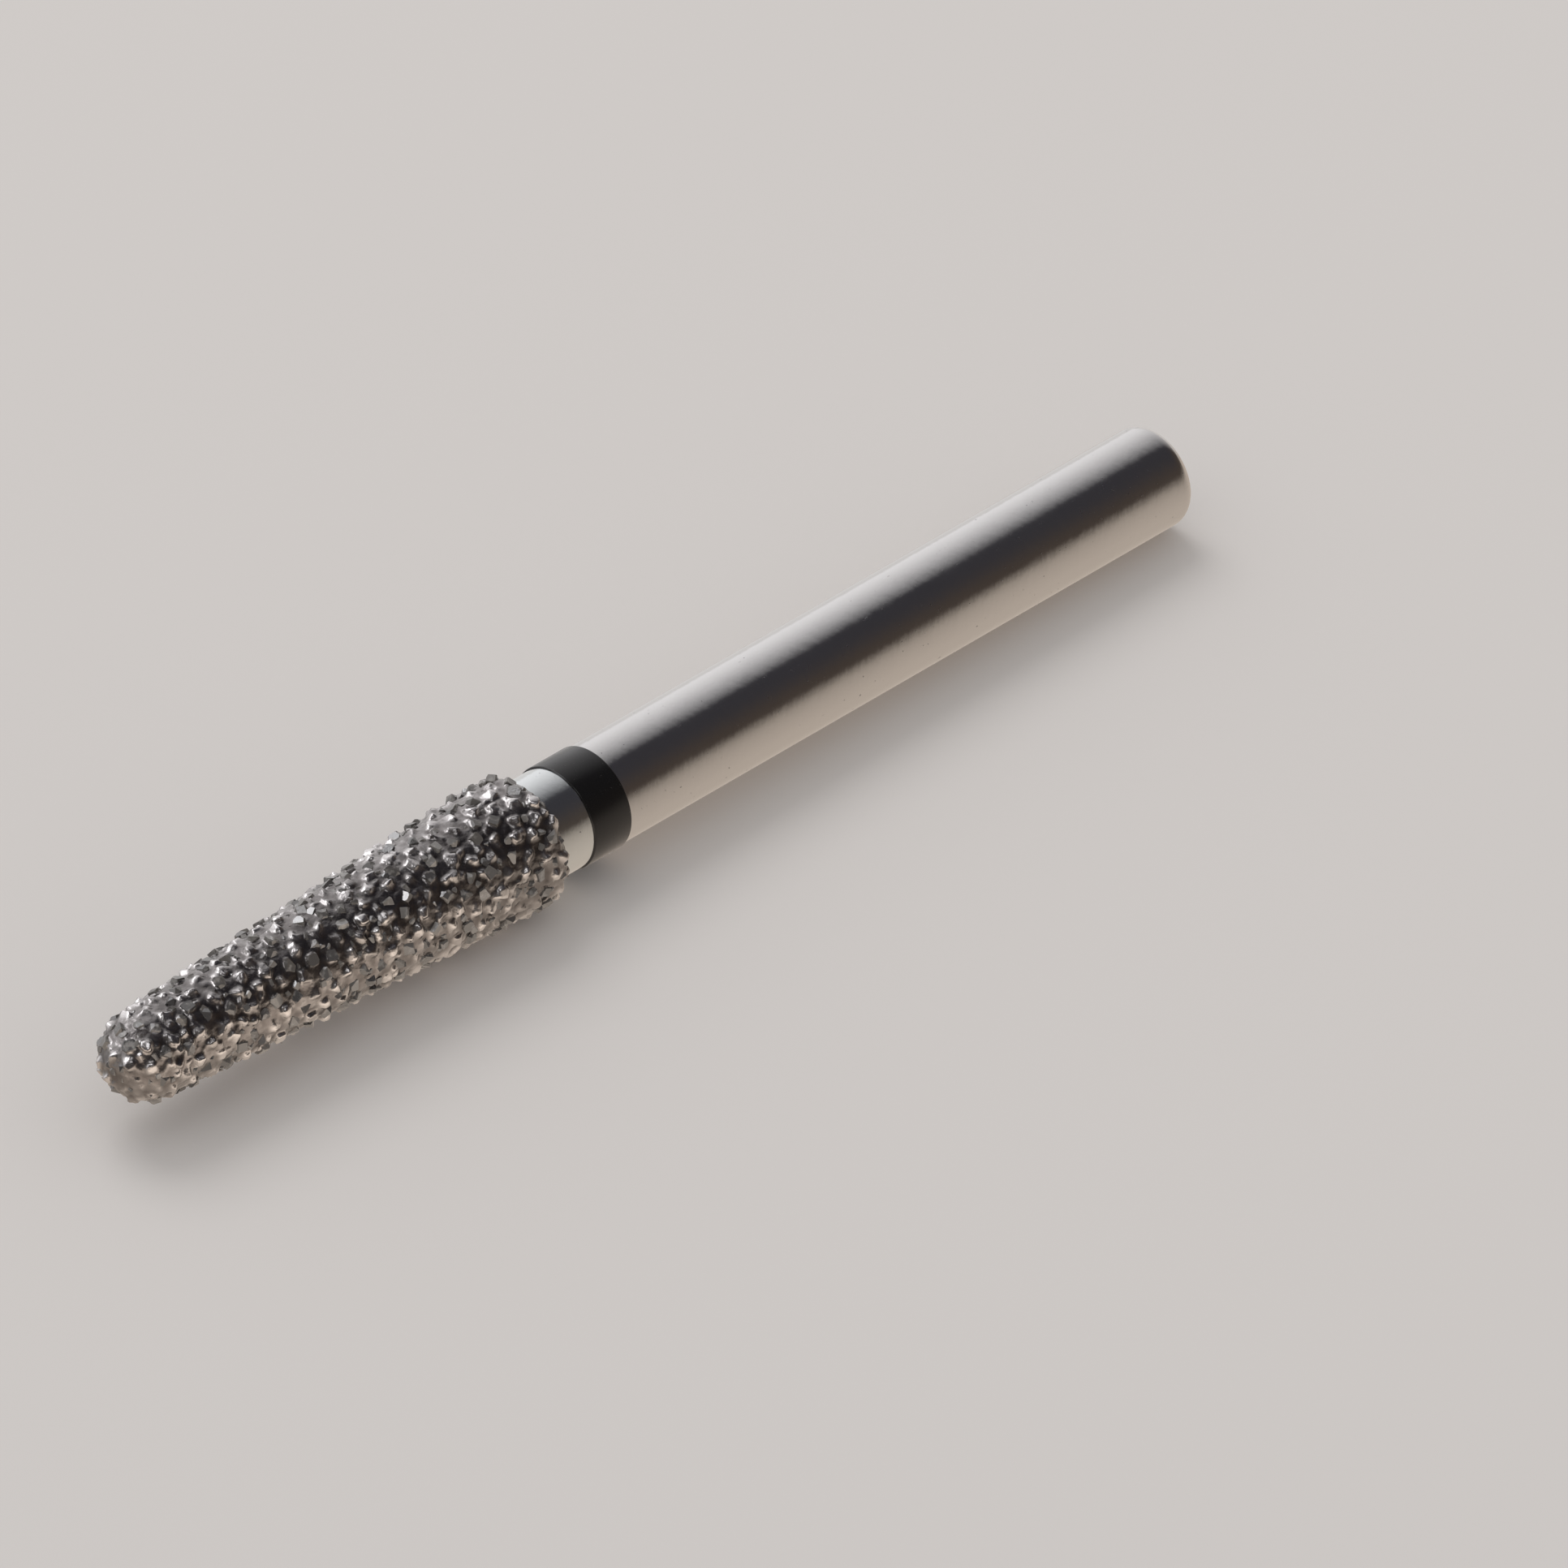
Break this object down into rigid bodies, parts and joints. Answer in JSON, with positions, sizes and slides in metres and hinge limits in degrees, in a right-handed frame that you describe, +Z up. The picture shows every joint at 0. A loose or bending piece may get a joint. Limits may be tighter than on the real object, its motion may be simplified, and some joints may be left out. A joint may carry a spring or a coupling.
{
  "type": "dental bur",
  "caption": "Friction-grip rotary dental bur: plain steel shank, black grade band and a tapered, round-ended head with a plated layer of coarse diamond grit.",
  "frame": {"origin": "centre of the flat end face of the shank, on the bur's axis", "axes": "+X along the axis from the shank's end to the round tip of the head, +Z up, with the bur lying on its side"},
  "size_m": [0.0215, 0.0022, 0.0021],
  "materials": {
    "ground_steel": "finely ground and polished stainless steel, with faint rings round the axis",
    "black_lacquer": "glossy black lacquer",
    "diamond_grit": "coarse diamond grains in dark plated nickel"
  },
  "bodies": {
    "root": {"steel_blank": "ground_steel", "grade_band": "black_lacquer", "diamond_coat": "diamond_grit"}
  },
  "joints": []
}
